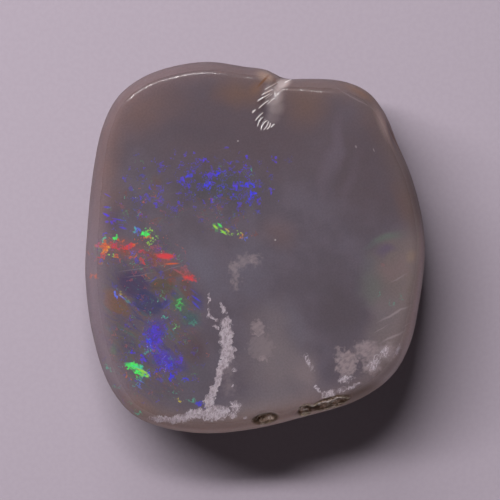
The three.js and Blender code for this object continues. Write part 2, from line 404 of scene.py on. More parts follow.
# Soft depths of colour under the flashes
deepTints = {
    "palette": {
        "purple": (72, 60, 92),
        "navy": (62, 64, 100),
        "orange": (120, 87, 68),
        "olive": (92, 80, 68),
        "brown": (104, 80, 72),
        "teal": (72, 94, 98),
        "blue": (66, 64, 122),
        "green": (78, 108, 82),
        "violet": (76, 62, 150),
        "wine": (90, 72, 76),
        "moss": (80, 84, 80),
        "ember": (140, 84, 78),
    },
    "rows": [
        (-2.4, 4.4, 3.6, 1.9, -6, "moss", 0, 0.5),
        (-10.3, 2.0, 1.5, 1.6, 0, "purple", 0, 0.35),
        (-7.4, 4.8, 0.9, 0.8, 40, "brown", 0, 0.5),
        (-9.6, -0.1, 2.2, 0.8, -8, "ember", 0.1, 0.6),
        (-6.9, -0.8, 1.7, 0.6, -14, "ember", 0.2, 0.6),
        (-5.2, -2.0, 1.3, 0.5, -22, "ember", 0.2, 0.55),
        (-8.7, -2.5, 2.1, 1.2, -20, "purple", 0.4, 0.75),
        (-7.9, -3.9, 1.5, 1.1, -38, "navy", 0.6, 0.7),
        (-10.1, -4.0, 1.7, 0.75, -46, "orange", 0.6, 0.6),
        (-6.7, -2.9, 0.9, 1.1, 24, "olive", 0.5, 0.7),
        (-6.0, -1.9, 1.3, 0.6, -15, "brown", 0.3, 0.7),
        (-5.0, -3.3, 0.6, 1.1, 15, "brown", 0.3, 0.7),
        (-4.7, -5.2, 1.2, 0.8, -20, "teal", 0.2, 0.75),
        (-4.3, -3.9, 0.6, 1.3, 32, "blue", 0, 0.4),
        (-5.6, -4.3, 0.9, 0.9, 0, "green", 0, 0.7),
        (-6.5, -4.1, 0.7, 0.5, 35, "blue", 0.1, 0.7),
        (-7.4, -6.3, 1.2, 1.6, -14, "violet", 0.2, 0.75),
        (-6.5, -8.2, 1.8, 1.3, -12, "violet", 0.2, 0.6),
        (-4.4, -7.3, 1.7, 1.5, 0, "wine", 0, 0.6),
        (-9.6, -7.2, 1.6, 1.6, 0, "moss", 0, 0.25),
        (-8.6, -11.4, 1.7, 0.8, -20, "orange", 0, 0.6),
        (-10.4, -7.3, 0.35, 0.4, 0, "green", 0.1, 0.7),
    ],
}

# Marks on the edge of the face, painted over the paler rim, with painted shade on the lower right and
# painted light on the upper right bevel
edgeMarksAndPaintedLight = {
    "palette": {
        "bark": (93, 77, 73),
        "lip": (152, 128, 116),
        "rust": (124, 94, 78),
        "paleEdge": (148, 126, 124),
        "crack": (108, 76, 58),
    },
    "rows": [
        # painted shade: darker brown on the lower right edge, turned away from the lamp
        (7.4, -10.9, 3.0, 0.75, 26, "bark", 0.3, 0.9),
        (0.9, 12.5, 1.2, 0.7, -20, "lip", 0.1, 0.75),
        (0.1, 11.6, 0.9, 0.7, 45, "rust", 0, 0.6),
        (0.6, 12.15, 0.85, 0.13, 47, "crack", 0.3, 0.9),
        (8.0, 11.3, 2.8, 0.65, -28, "rust", 0.1, 0.6),
        # painted light: a paler band on the upper right bevel lifts the shade it gets from the lamp
        (9.7, 9.0, 2.7, 0.85, -66, "paleEdge", 0.3, 0.85),
        (10.15, 8.12, 1.9, 0.08, -64, "crack", 0.3, 0.7),
    ],
}

# Bright play of colour. Rows: x, y, half sizes in mm, turn, colour, core, strength
flashes = {
    "palette": {
        "violet": (88, 66, 208),
        "blue": (70, 66, 232),
        "sky": (96, 116, 226),
        "teal": (78, 196, 160),
        "green": (82, 226, 104),
        "lime": (156, 208, 74),
        "yellow": (204, 188, 70),
        "amber": (214, 140, 62),
        "orange": (208, 104, 64),
        "red": (204, 72, 78),
        "rose": (170, 92, 100),
        "pale": (206, 196, 196),
        "dimRed": (124, 78, 72),
        "dimGreen": (92, 122, 96),
        "dimBlue": (84, 78, 150),
        "bark": (84, 62, 52),
    },
    "upperBand": [
        (-8.7, 6.8, 0.2, 0.16, 0, "dimBlue", 0.2, 0.7),
        (-6.9, 6.1, 0.2, 0.2, 0, "violet", 0.2, 0.6),
        (-5.8, 6.9, 0.18, 0.18, 0, "violet", 0.2, 0.6),
        (-5.1, 6.75, 0.14, 0.26, 0, "violet", 0.3, 0.9),
        (-3.75, 6.4, 0.34, 0.16, 6, "violet", 0.4, 1.0),
        (-4.3, 5.95, 0.16, 0.4, -25, "dimBlue", 0.2, 0.8),
        (-4.8, 5.25, 0.26, 0.32, 20, "blue", 0.3, 0.8),
        (-5.25, 4.85, 0.32, 0.3, 40, "violet", 0.3, 0.8),
        (-4.9, 4.5, 0.24, 0.2, 0, "violet", 0.3, 0.7),
        (-3.45, 4.5, 0.3, 0.16, -10, "blue", 0.4, 1.0),
        (-2.8, 5.35, 0.34, 0.24, 30, "blue", 0.4, 1.0),
        (-3.1, 5.65, 0.16, 0.22, 0, "violet", 0.3, 0.8),
        (-7.0, 5.6, 0.12, 0.2, -30, "dimBlue", 0.2, 0.9),
        (-6.3, 4.8, 0.24, 0.12, 15, "violet", 0.2, 0.7),
        (-5.6, 3.95, 0.2, 0.2, 0, "violet", 0.2, 0.6),
        (-6.9, 3.5, 0.34, 0.14, 20, "violet", 0.2, 0.55),
        (-1.4, 4.5, 0.3, 0.36, -20, "violet", 0.3, 0.9),
        (-0.75, 4.6, 0.4, 0.14, 10, "blue", 0.3, 0.9),
        (-0.25, 4.6, 0.26, 0.24, 0, "blue", 0.4, 1.0),
        (-0.25, 3.85, 0.3, 0.34, -10, "blue", 0.5, 1.0),
        (0.3, 3.35, 0.16, 0.34, -20, "violet", 0.3, 0.9),
        (1.1, 4.1, 0.2, 0.26, 0, "violet", 0.3, 0.9),
        (1.2, 5.1, 0.16, 0.16, 0, "dimBlue", 0.2, 0.8),
        (1.35, 6.4, 0.24, 0.2, 0, "violet", 0.4, 1.0),
        (2.4, 6.4, 0.3, 0.12, 10, "dimBlue", 0.2, 0.7),
        (-0.6, 5.8, 0.2, 0.14, 0, "violet", 0.2, 0.7),
        (-0.2, 5.7, 0.2, 0.16, 0, "teal", 0.2, 0.7),
        (-2.9, 3.6, 0.2, 0.14, 20, "dimGreen", 0.3, 0.9),
        (-2.0, 3.6, 0.2, 0.16, 0, "dimRed", 0.2, 0.8),
        (-1.2, 3.0, 0.14, 0.4, -15, "violet", 0.2, 0.7),
        (0.15, 2.5, 0.12, 0.3, 10, "dimBlue", 0.2, 0.7),
        (-1.5, 2.25, 0.2, 0.14, 0, "dimGreen", 0.2, 0.8),
        (-1.6, 1.4, 0.22, 0.18, 0, "dimBlue", 0.2, 0.8),
        (-8.7, 3.6, 0.09, 0.09, 0, "pale", 0.3, 0.8),
        (-9.5, 2.55, 0.34, 0.14, 0, "dimGreen", 0.2, 0.7),
        (-7.2, 1.95, 1.0, 0.16, 8, "dimRed", 0.1, 0.6),
    ],
    "greenPair": [
        (-8.6, 1.25, 0.3, 0.3, 0, "sky", 0.2, 0.75),
        (-8.75, 1.3, 0.14, 0.3, 0, "teal", 0.2, 0.7),
        (-8.0, 1.05, 0.32, 0.28, 0, "green", 0.5, 1.0),
        (-7.6, 1.25, 0.2, 0.16, 0, "lime", 0.4, 0.9),
        (-7.75, 0.75, 0.34, 0.18, -10, "amber", 0.3, 0.9),
        (-8.05, 0.65, 0.2, 0.14, 0, "orange", 0.3, 0.8),
        (-7.3, 0.65, 0.3, 0.1, 12, "lime", 0.4, 0.9),
        (-7.7, 0.35, 0.36, 0.12, 16, "lime", 0.4, 0.9),
        (-10.2, 0.65, 0.3, 0.14, 18, "green", 0.4, 0.9),
        (-11.05, 0.6, 0.14, 0.3, -15, "teal", 0.3, 0.8),
        (-2.75, 1.5, 0.26, 0.4, -40, "green", 0.3, 0.35),
        (-2.75, 1.45, 0.13, 0.22, -40, "dimGreen", 0.4, 1.0),
        (-2.3, 1.15, 0.3, 0.12, -35, "green", 0.3, 0.8),
        (-1.85, 1.0, 0.16, 0.12, 0, "lime", 0.3, 0.7),
        (-0.95, 0.85, 0.22, 0.24, -30, "amber", 0.4, 0.9),
        (-0.75, 0.6, 0.18, 0.14, -40, "sky", 0.3, 0.7),
        (-1.1, 1.05, 0.12, 0.12, 0, "lime", 0.3, 0.8),
        (0.0, 1.05, 0.16, 0.18, 0, "dimRed", 0.2, 0.7),
    ],
    "redBand": [
        (-10.9, 0.1, 0.6, 0.46, -35, "orange", 0.3, 0.9),
        (-10.2, 0.1, 0.6, 0.2, -42, "red", 0.3, 1.0),
        (-9.1, 0.1, 0.75, 0.22, 26, "red", 0.3, 0.95),
        (-9.9, 0.45, 0.4, 0.16, 12, "orange", 0.2, 0.85),
        (-9.5, -0.1, 0.3, 0.26, 20, "red", 0.3, 0.95),
        (-10.75, -0.15, 0.34, 0.18, 45, "yellow", 0.2, 0.8),
        (-11.0, -0.4, 0.4, 0.14, -45, "amber", 0.2, 0.8),
        (-11.5, 0.15, 0.3, 0.2, 0, "orange", 0.2, 0.55),
        (-10.2, -0.72, 0.4, 0.14, -20, "amber", 0.2, 0.7),
        (-7.1, 0.05, 0.3, 0.4, -30, "rose", 0.1, 0.6),
        (-8.3, -0.25, 0.5, 0.14, -18, "red", 0.2, 0.7),
        (-8.7, 0.3, 0.3, 0.16, 10, "orange", 0.3, 0.9),
        (-7.5, 0.0, 0.4, 0.14, 40, "rose", 0.2, 0.8),
        (-11.1, -0.55, 0.75, 0.2, 42, "red", 0.3, 0.85),
        (-10.95, -0.25, 0.35, 0.14, 42, "amber", 0.3, 0.9),
        (-10.4, -0.55, 0.2, 0.12, 0, "lime", 0.4, 0.9),
        (-10.0, -0.75, 0.45, 0.12, -50, "orange", 0.3, 0.9),
        (-9.55, -0.35, 0.3, 0.2, 20, "dimRed", 0.2, 0.8),
        (-8.9, -0.65, 0.36, 0.14, -8, "orange", 0.3, 0.9),
        (-8.95, -0.42, 0.26, 0.09, 6, "sky", 0.2, 0.7),
        (-8.2, -1.0, 0.13, 0.26, 0, "red", 0.3, 0.8),
        (-7.4, -0.75, 0.8, 0.14, -8, "dimRed", 0.2, 0.9),
        (-6.6, -0.6, 0.8, 0.3, -6, "red", 0.2, 0.6),
        (-5.1, -1.6, 0.5, 0.3, -25, "rose", 0.2, 0.7),
        (-4.75, -2.25, 0.8, 0.3, -16, "red", 0.3, 0.85),
        (-5.0, -2.2, 0.3, 0.16, -16, "orange", 0.3, 0.6),
        (-6.1, -2.45, 0.5, 0.18, -10, "dimRed", 0.2, 0.8),
        (-11.75, -2.1, 0.4, 0.22, -10, "orange", 0.2, 0.6),
        (-8.25, -2.15, 0.16, 0.12, 30, "orange", 0.2, 0.7),
        (-7.9, -2.05, 0.16, 0.1, 0, "orange", 0.2, 0.6),
        (-6.9, -2.0, 0.45, 0.16, 22, "dimBlue", 0.2, 0.8),
    ],
    "lowerField": [
        (-10.2, -2.85, 0.5, 0.1, -40, "dimBlue", 0.2, 0.8),
        (-10.15, -3.45, 0.24, 0.26, 0, "sky", 0.3, 0.95),
        (-9.75, -3.5, 0.4, 0.1, -32, "yellow", 0.2, 0.7),
        (-9.35, -3.9, 0.4, 0.16, -45, "teal", 0.1, 0.4),
        (-5.6, -4.1, 0.16, 0.45, -20, "green", 0.2, 0.55),
        (-5.35, -4.05, 0.4, 0.14, -40, "green", 0.2, 0.5),
        (-5.55, -4.45, 0.14, 0.3, 10, "green", 0.2, 0.5),
        (-6.65, -5.05, 0.16, 0.16, 0, "teal", 0.3, 0.8),
        (-5.8, -5.75, 0.12, 0.12, 0, "pale", 0.3, 0.7),
        (-5.8, -5.75, 0.2, 0.2, 0, "green", 0.2, 0.5),
        (-7.1, -4.05, 0.12, 0.12, 0, "teal", 0.3, 0.7),
        (-4.5, -5.5, 0.35, 0.25, 30, "teal", 0.1, 0.3),
        (-7.25, -5.9, 0.35, 0.36, 20, "violet", 0.2, 0.8),
        (-7.2, -6.35, 0.45, 0.2, 0, "violet", 0.3, 0.9),
        (-7.6, -6.9, 0.36, 0.36, 30, "blue", 0.3, 0.9),
        (-7.0, -6.9, 0.3, 0.22, -20, "violet", 0.3, 0.9),
        (-8.95, -7.6, 0.28, 0.15, -20, "violet", 0.4, 0.9),
        (-7.9, -7.55, 0.3, 0.16, 10, "teal", 0.2, 0.6),
        (-8.1, -8.15, 0.24, 0.24, 30, "violet", 0.4, 1.0),
        (-6.6, -7.9, 0.7, 0.7, 0, "violet", 0.0, 0.5),
        (-6.1, -9.4, 0.18, 0.32, 0, "blue", 0.4, 1.0),
        (-5.2, -9.6, 0.3, 0.24, 15, "blue", 0.4, 1.0),
        (-7.7, -9.3, 0.2, 0.16, 0, "violet", 0.3, 0.9),
        (-5.4, -8.05, 0.32, 0.2, 10, "violet", 0.2, 0.7),
        (-5.4, -6.9, 0.22, 0.14, 0, "violet", 0.2, 0.5),
        (-6.4, -8.7, 0.45, 0.5, 0, "violet", 0.0, 0.5),
        (-7.72, -7.23, 0.09, 0.09, 0, "pale", 0.3, 0.9),
        (-6.55, -7.95, 0.1, 0.1, 0, "pale", 0.3, 0.6),
        (-6.55, -8.85, 0.13, 0.12, 0, "pale", 0.3, 0.6),
    ],
    "greenFlash": [
        (-9.35, -8.65, 0.26, 0.24, 30, "green", 0.4, 1.0),
        (-8.85, -8.6, 0.42, 0.26, -6, "green", 0.4, 1.0),
        (-8.35, -8.75, 0.4, 0.2, -25, "teal", 0.4, 1.0),
        (-8.5, -9.15, 0.55, 0.24, -32, "green", 0.4, 1.0),
        (-8.0, -9.2, 0.5, 0.12, -34, "lime", 0.4, 0.9),
        (-7.75, -8.85, 0.3, 0.07, -10, "dimGreen", 0.3, 0.9),
        (-9.35, -9.35, 0.14, 0.3, 10, "orange", 0.3, 0.8),
        (-8.55, -9.75, 0.5, 0.12, -30, "violet", 0.1, 0.5),
        (-10.8, -8.75, 0.12, 0.32, 15, "teal", 0.2, 0.6),
        (-8.45, -10.1, 0.32, 0.1, -28, "sky", 0.2, 0.7),
        (-8.75, -10.0, 0.16, 0.1, 0, "teal", 0.2, 0.5),
        (-10.2, -10.2, 0.4, 0.12, 0, "teal", 0.1, 0.35),
        (-6.9, -9.65, 0.45, 0.22, -20, "violet", 0.1, 0.4),
        (-5.75, -10.6, 0.16, 0.3, 15, "teal", 0.1, 0.35),
        (-4.5, -9.25, 0.2, 0.2, 0, "dimGreen", 0.2, 0.8),
        (-4.4, -9.65, 0.4, 0.08, -10, "violet", 0.2, 0.6),
        (-5.45, -11.2, 0.26, 0.18, -10, "yellow", 0.4, 0.9),
        (-4.6, -11.2, 0.35, 0.22, 0, "teal", 0.2, 0.5),
        (-4.05, -11.4, 0.4, 0.22, -20, "blue", 0.3, 0.65),
        (-8.55, -12.05, 0.4, 0.14, -20, "teal", 0.3, 0.8),
        (-7.7, -12.95, 0.7, 0.09, -24, "bark", 0.3, 0.9),
    ],
    "needles": [
        (-10.86, 2.39, 0.36, 0.09, -28, "violet", 0.3, 0.95),
        (-9.96, 2.04, 0.7, 0.05, -12, "violet", 0.3, 0.7),
        (-10.8, 2.94, 0.36, 0.1, -5, "violet", 0.2, 0.6),
        (-10.8, 1.88, 0.2, 0.12, 0, "violet", 0.2, 0.6),
        (-10.44, 1.8, 0.1, 0.18, 0, "violet", 0.2, 0.7),
        (-9.63, 1.43, 0.4, 0.11, -17, "violet", 0.2, 0.6),
        (-10.77, 3.82, 0.42, 0.06, -29, "violet", 0.2, 0.5),
        (-4.3, -3.71, 0.55, 0.08, -36, "blue", 0.2, 0.6),
        (-4.3, -4.19, 0.55, 0.09, -45, "blue", 0.2, 0.5),
        (-4.45, -3.2, 0.5, 0.07, -38, "dimBlue", 0.2, 0.7),
        (-6.54, -0.62, 0.85, 0.27, -3, "red", 0.4, 0.9),
        (-6.07, -1.18, 0.7, 0.09, 3, "orange", 0.3, 0.8),
        (-4.8, -2.24, 0.6, 0.2, -17, "red", 0.2, 0.6),
        (-5.6, -1.75, 0.7, 0.1, -30, "rose", 0.2, 0.6),
        (-7.6, -0.55, 0.7, 0.07, -34, "dimRed", 0.2, 0.7),
        (-7.4, -2.35, 0.5, 0.09, 40, "dimBlue", 0.2, 0.8),
        (-9.7, -3.6, 0.5, 0.08, -38, "sky", 0.2, 0.6),
        (-9.1, -4.1, 0.5, 0.06, -42, "dimBlue", 0.2, 0.7),
        (-6.4, -4.2, 0.6, 0.08, 40, "dimBlue", 0.2, 0.8),
        (-2.88, 1.5, 0.32, 0.11, -42, "lime", 0.3, 0.9),
        (-2.56, 1.62, 0.3, 0.09, -42, "green", 0.3, 0.9),
        (-2.3, 1.12, 0.4, 0.1, -38, "lime", 0.3, 0.85),
        (-2.02, 1.26, 0.3, 0.08, -38, "yellow", 0.3, 0.7),
        (-8.95, -8.58, 0.75, 0.22, -12, "green", 0.3, 0.7),
        (-8.3, -8.95, 0.75, 0.12, -28, "lime", 0.3, 0.8),
        (-8.6, -8.72, 0.6, 0.1, -20, "teal", 0.3, 0.7),
        (-8.1, -9.3, 0.5, 0.08, -32, "green", 0.2, 0.6),
        (-8.3, -9.75, 0.4, 0.06, -32, "sky", 0.2, 0.5),
        (-1.25, 7.76, 0.09, 0.09, 0, "pale", 0.3, 0.4),
        (1.47, 0.55, 0.09, 0.09, 0, "pale", 0.3, 0.5),
        (7.35, 7.35, 0.1, 0.16, 20, "pale", 0.2, 0.25),
        (8.65, 7.1, 0.06, 0.2, 20, "pale", 0.2, 0.25),
    ],
    "rightSide": [
        (9.05, -3.35, 0.14, 0.32, 0, "teal", 0.2, 0.5),
        (9.95, -4.1, 0.3, 0.14, -40, "teal", 0.1, 0.28),
        (10.7, -3.6, 0.2, 0.2, 0, "teal", 0.1, 0.18),
        (9.2, -1.3, 0.2, 0.12, 0, "rose", 0.1, 0.35),
        (12.0, -1.0, 0.12, 0.3, 0, "dimBlue", 0.1, 0.4),
    ],
}

# Where small random flecks gather. Rows: x, y, half sizes, turn, core, share of cells lit
fleckZones = {
    "violet": {
        "rows": [
            (-2.4, 4.7, 4.8, 2.8, -6, 0.2, 0.34),
            (-7.2, 4.2, 3.4, 3.0, 10, 0.1, 0.2),
            (-10.2, 2.0, 1.6, 1.7, 0, 0.1, 0.1),
            (-7.0, -7.6, 2.2, 3.0, 20, 0.2, 0.5),
        ],
        "colours": ("violet", "blue", "violet", "dimBlue", "dimGreen", "violet", "dimBlue", "violet",
                    "blue"),
    },
    "mixed": {
        "rows": [
            (-8.4, -0.6, 4.2, 1.9, -10, 0.3, 0.5),
            (-7.4, -6.0, 4.6, 7.2, 0, 0.3, 0.2),
            (-2.2, 2.4, 3.2, 2.0, -15, 0.0, 0.3),
            (-8.0, 2.6, 3.6, 2.2, 0, 0.0, 0.26),
        ],
        "colours": ("dimGreen", "dimRed", "dimBlue", "orange", "violet", "dimRed", "dimBlue", "dimGreen",
                    "rose", "violet", "dimRed", "teal"),
    },
}

# Layers of random flecks: zone, turn, cells per mm along and across, strength
fleckLayers = [
    ("mixed", -30, (1.3, 2.8), 0.22),
    ("violet", 24, (2.4, 3.6), 0.7),
    ("violet", -20, (4.6, 6.6), 0.7),
    ("mixed", -34, (2.4, 6.4), 0.42),
    ("mixed", 18, (4.2, 7.2), 0.45),
]

# Streaked sheen of the lower left: colours along a stretched noise
silk = {
    "turn": -36,
    "scale": (0.45, 2.4),  # per mm along and across
    "zone": (-7.8, -5.6, 4.7, 7.2, 0, 0.4, 0.55),  # as a row of the feathers
    "stops": [
        (0.3, (64, 66, 110)),
        (0.38, (84, 70, 106)),
        (0.44, (98, 86, 98)),
        (0.49, (90, 82, 98)),
        (0.54, (114, 90, 80)),
        (0.6, (94, 90, 84)),
        (0.68, (80, 104, 106)),
    ],
}

# White feathers. Rows: x, y, half sizes, turn, core, strength
feathers = {
    "mainVein": [
        (-3.34, -3.8, 0.12, 0.9, 0, 0.0, 0.55),
        (-3.38, -4.8, 0.2, 0.55, 0, 0.1, 0.7),
        (-3.03, -5.18, 0.6, 0.2, -31, 0.1, 0.75),
        (-2.43, -4.23, 0.5, 0.18, -63, 0.1, 0.6),
        (-2.25, -4.55, 0.26, 0.4, 0, 0.2, 0.9),
        (-1.91, -5.26, 0.65, 0.24, -62, 0.1, 0.8),
        (-2.13, -5.5, 0.62, 0.6, 0, 0.2, 0.8),
        (-2.85, -5.77, 0.5, 0.16, -28, 0.1, 0.7),
        (-2.1, -6.5, 0.64, 1.3, 0, 0.4, 0.95),
        (-2.02, -7.72, 0.72, 0.9, 0, 0.4, 0.95),
        (-1.5, -7.46, 0.34, 0.16, -20, 0.1, 0.8),
        (-2.3, -8.46, 0.48, 0.8, -10, 0.3, 0.95),
        (-2.57, -9.05, 0.4, 0.8, -16, 0.3, 0.92),
        (-2.72, -9.74, 0.36, 0.9, -14, 0.3, 0.92),
        (-3.09, -10.55, 0.42, 0.9, -20, 0.3, 0.92),
        (-3.35, -11.2, 0.58, 0.75, -20, 0.3, 0.92),
    ],
    "lowerBand": [
        (-2.9, -12.05, 1.5, 0.78, 6, 0.3, 0.9),
        (-4.34, -12.13, 1.1, 0.52, 8, 0.3, 0.92),
        (-5.51, -12.5, 1.5, 0.42, 8, 0.2, 0.82),
        (-6.9, -12.5, 1.3, 0.34, -2, 0.1, 0.8),
        (-1.43, -11.55, 0.62, 0.62, 0, 0.2, 0.62),
        (-1.6, -12.2, 0.5, 0.4, 0, 0.1, 0.7),
        (-1.5, -8.9, 0.34, 0.2, 10, 0.1, 0.5),
        (-1.6, -10.1, 0.14, 0.12, 0, 0.1, 0.7),
        (-0.75, -12.4, 0.26, 0.2, 0, 0.1, 0.65),
    ],
    "rightCrest": [
        (4.63, -10.4, 0.8, 0.24, -50, 0.1, 0.62),
        (7.24, -10.07, 0.85, 0.18, 25, 0.1, 0.85),
        (6.3, -10.4, 1.0, 0.34, 18, 0.0, 0.55),
        (5.4, -10.7, 0.95, 0.45, 15, 0.0, 0.7),
        (6.6, -9.6, 0.9, 0.5, 15, 0.0, 0.62),
        (3.93, -8.38, 1.25, 0.32, -64, 0.0, 0.5),
        (8.65, -8.4, 1.05, 0.6, 62, 0.0, 0.62),
        (9.5, -7.6, 0.95, 0.7, 30, 0.0, 0.5),
        (10.3, -7.6, 0.95, 0.3, 58, 0.0, 0.55),
    ],
}

# Soft pale clouds and bruises. Rows as for the feathers
clouds = {
    "middle": [
        (-0.85, -1.0, 0.9, 0.7, 20, 0.1, 0.6),
        (-0.15, -0.9, 0.8, 0.6, 0, 0.1, 0.7),
        (-1.5, -1.5, 0.6, 0.8, 0, 0.1, 0.7),
        (-1.45, -2.4, 0.5, 1.1, 0, 0.0, 0.6),
    ],
    "bruises": [
        (0.2, -5.75, 0.72, 0.6, 0, 0.4, 0.75),
        (0.2, -6.25, 0.62, 0.16, 0, 0.3, 0.9),
        (0.4, -7.3, 1.1, 1.05, 0, 0.7, 0.32),
        (0.5, -8.12, 0.6, 0.18, 6, 0.3, 0.9),
        (-2.0, -8.9, 0.9, 1.2, -10, 0.1, 0.4),
        (-1.9, -10.1, 0.9, 1.1, 0, 0.0, 0.4),
    ],
    "right": [
        (6.69, -8.5, 0.95, 1.25, -10, 0.6, 1.0),
        (6.1, -7.6, 0.4, 0.55, 10, 0.3, 0.7),
        (5.9, -8.2, 0.4, 0.16, -30, 0.1, 0.7),
        (8.15, -7.5, 1.3, 1.0, 0, 0.4, 0.95),
        (8.5, -8.65, 0.9, 0.8, 30, 0.4, 1.0),
        (9.8, -7.6, 1.05, 0.95, 20, 0.3, 0.9),
        (10.7, -7.2, 0.4, 1.2, -25, 0.3, 0.4),
    ],
}

# Healed cracks and scratches, nearly straight. Rows as for the feathers
hairlines = {
    "scratches": [
        (-8.8, -1.6, 1.8, 0.05, 7, 0.2, 0.26),
        (-8.4, -2.0, 1.6, 0.045, 9, 0.2, 0.24),
        (-7.4, -2.35, 1.1, 0.04, 12, 0.2, 0.2),
        (-6.0, -1.5, 1.0, 0.04, 16, 0.2, 0.3),
    ],
    "cracks": [
        (10.2, -4.8, 1.75, 0.12, 28, 0.2, 0.6),
        (10.1, -6.5, 1.35, 0.12, 24, 0.2, 0.6),
        (10.5, -2.2, 0.95, 0.08, 25, 0.2, 0.35),
        (11.2, -5.6, 0.7, 0.05, 34, 0.2, 0.5),
        (7.3, 10.85, 2.2, 0.07, -30, 0.2, 0.25),
        (9.2, -5.9, 0.8, 0.05, 30, 0.2, 0.4),
    ],
}

# How far each kind of mark is pushed about: waves per mm, reach in mm, detail
warps = {
    "broad": (0.35, 0.7, 2.0),
    "ragged": (3.4, 0.5, 4.0),
    "frayed": (2.8, 0.2, 4.0),
    "cracked": (0.8, 0.12, 3.0),
    "wavy": (3.0, 0.55, 5.0),
    "layered": (0.25, 1.2, 2.0),
}

# Surface of the stone, with colours as they are seen, 0 to 255
stoneFinish = {
    "roughness": 0.08,
    "roughSpread": 0.08,
    "featherRoughness": 0.3,
    "steepRoughness": 0.7,
    "pitRoughness": 0.85,
    "scratchStrength": 0.15,
    "scratchDepth": 0.00004,  # m
    "ior": 1.45,
    "subsurface": 0.8,
    "subsurfaceReach": (1.0, 0.8, 0.7),
    "subsurfaceScale": 0.003,  # m
    "cloudColour": (146, 131, 135),
    "hairlineColour": (156, 142, 146),
    "featherColour": (166, 153, 161),
    "featherDim": (142, 130, 137),
    "strandColour": (184, 172, 180),
    # painted glow: the rim tints are paler near the outline in place of light held in the thin edge
    "rimLeft": (110, 92, 94),
    "rimLeftLow": (128, 112, 121),
    "rimRight": (102, 87, 87),
    "rimMilkyGlow": (130, 114, 115),
    "rimLow": (128, 107, 101),
    # painted light: paler tints for the steep right bevel, in place of the shade it gets from the lamp
    "paintedLightBevelRight": (118, 102, 101),
    "paintedLightBevelMilky": (160, 141, 142),
    "rimShare": 0.8,
    # where one tint of the edge gives way to the next, in mm along X for Sides and StartX, else along Y
    "rimSides": (-9.0, 5.0),
    "rimLeftFade": (8.0, -5.0),
    "rimRightFade": (3.0, -1.0),
    "rimLowFade": (-9.5, -12.5),
    "bevelFade": (3.0, 0.0),
    "bevelStartX": (6.5, 10.0),
    "bevelStartY": (-9.0, -6.0),
    "wallPale": (116, 101, 98),
    "wallDark": (82, 72, 74),
    "wallRust": (112, 88, 70),
    "chipPale": (170, 155, 154),
    "chipGlint": (226, 216, 216),
    "pitDark": (72, 57, 48),
    "pitOchre": (124, 106, 96),
    "pitPale": (176, 160, 156),
}


def finishTint(name):
    return seen(*stoneFinish[name])


def attributeOf(tree, name):
    return addNode(tree, "ShaderNodeAttribute", attribute_name=name).outputs["Fac"]


def colourRamp(tree, value, interpolation, stops):
    node = addNode(tree, "ShaderNodeValToRGB")
    node.color_ramp.interpolation = interpolation
    feed(tree, node.inputs[0], value)
    elements = node.color_ramp.elements
    while len(elements) < len(stops):
        elements.new(1.0)
    for element, (position, colour) in zip(elements, stops):
        element.position = position
        element.color = seen(*colour)
    return node.outputs["Color"]


def fleckColours(tree, pick, names):
    stops = [(i / len(names), flashes["palette"][name]) for i, name in enumerate(names)]
    return colourRamp(tree, pick, "CONSTANT", stops)


def edgeTint(tree, value, fade, under, over):
    return mixColour(tree, ramp(tree, value, *stoneFinish[fade]), under, finishTint(over))


